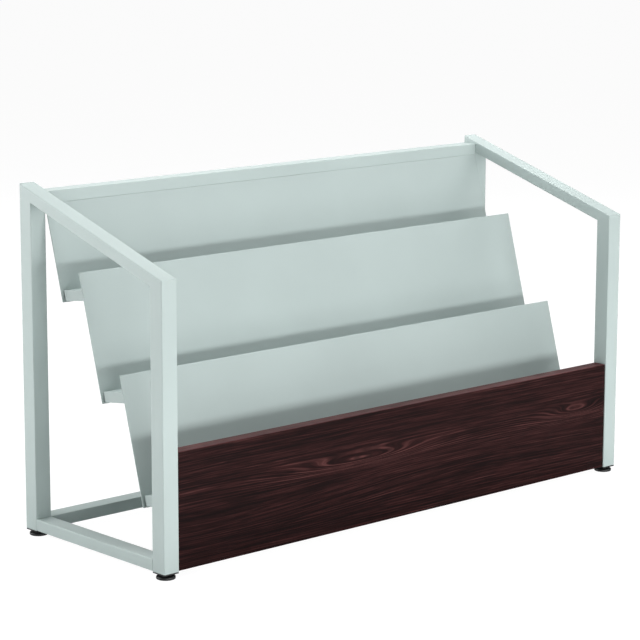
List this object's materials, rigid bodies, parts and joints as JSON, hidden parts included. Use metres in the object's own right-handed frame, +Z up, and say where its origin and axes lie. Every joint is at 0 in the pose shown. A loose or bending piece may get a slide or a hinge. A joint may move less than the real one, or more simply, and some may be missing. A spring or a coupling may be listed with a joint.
{
  "type": "newspaper rack",
  "caption": "Low open newspaper rack: tube side frames, tiered leaning sheet shelves joined by box ledges, a dark wooden front board and levelling feet.",
  "frame": {"origin": "centre of the footprint, on the floor", "axes": "+Z up, +X along the rack to the right as seen from the front, -Y towards the reader, so the wooden board faces -Y"},
  "size_m": [1.061, 0.371, 0.5909],
  "materials": {
    "frame_steel": "pale grey-green powder coat, satin",
    "shelf_steel": "pale grey-green powder coat, satin",
    "board_wood": "dark reddish-brown stained veneer, satin lacquer",
    "foot_plastic": "moulded black plastic",
    "plated_steel": "zinc plated"
  },
  "bodies": {
    "root": {"board_dowel_left_lower": "plated_steel", "board_dowel_left_upper": "plated_steel", "board_dowel_right_lower": "plated_steel", "board_dowel_right_upper": "plated_steel", "board_screw_1": "plated_steel", "board_screw_2": "plated_steel", "board_screw_3": "plated_steel", "board_screw_4": "plated_steel", "front_board": "board_wood", "front_ledge": "shelf_steel", "front_ledge_end_left": "shelf_steel", "front_ledge_end_right": "shelf_steel", "front_left_foot_plug": "foot_plastic", "front_right_foot_plug": "foot_plastic", "front_shelf_panel": "shelf_steel", "left_bottom_rail": "frame_steel", "left_front_post": "frame_steel", "left_rear_post": "frame_steel", "left_top_rail": "frame_steel", "middle_ledge": "shelf_steel", "middle_ledge_end_left": "shelf_steel", "middle_ledge_end_right": "shelf_steel", "middle_shelf_panel": "shelf_steel", "rail_screw_1": "plated_steel", "rail_screw_2": "plated_steel", "rail_screw_3": "plated_steel", "rail_screw_4": "plated_steel", "rear_bottom_rail": "frame_steel", "rear_ledge": "shelf_steel", "rear_ledge_end_left": "shelf_steel", "rear_ledge_end_right": "shelf_steel", "rear_left_foot_plug": "foot_plastic", "rear_right_foot_plug": "foot_plastic", "rear_shelf_panel": "shelf_steel", "rear_top_rail": "frame_steel", "right_bottom_rail": "frame_steel", "right_front_post": "frame_steel", "right_rear_post": "frame_steel", "right_top_rail": "frame_steel"},
    "front_left_foot": {"front_left_foot_stud": "plated_steel", "front_left_foot_pad": "foot_plastic"},
    "front_right_foot": {"front_right_foot_stud": "plated_steel", "front_right_foot_pad": "foot_plastic"},
    "rear_left_foot": {"rear_left_foot_stud": "plated_steel", "rear_left_foot_pad": "foot_plastic"},
    "rear_right_foot": {"rear_right_foot_stud": "plated_steel", "rear_right_foot_pad": "foot_plastic"}
  },
  "joints": [
    {"name": "front_left_foot_level", "type": "slide", "parent": "root", "child": "front_left_foot", "axis": [0, 0, -1], "range_m": [0, 0.008]},
    {"name": "front_right_foot_level", "type": "slide", "parent": "root", "child": "front_right_foot", "axis": [0, 0, -1], "range_m": [0, 0.008]},
    {"name": "rear_left_foot_level", "type": "slide", "parent": "root", "child": "rear_left_foot", "axis": [0, 0, -1], "range_m": [0, 0.008]},
    {"name": "rear_right_foot_level", "type": "slide", "parent": "root", "child": "rear_right_foot", "axis": [0, 0, -1], "range_m": [0, 0.008]}
  ]
}
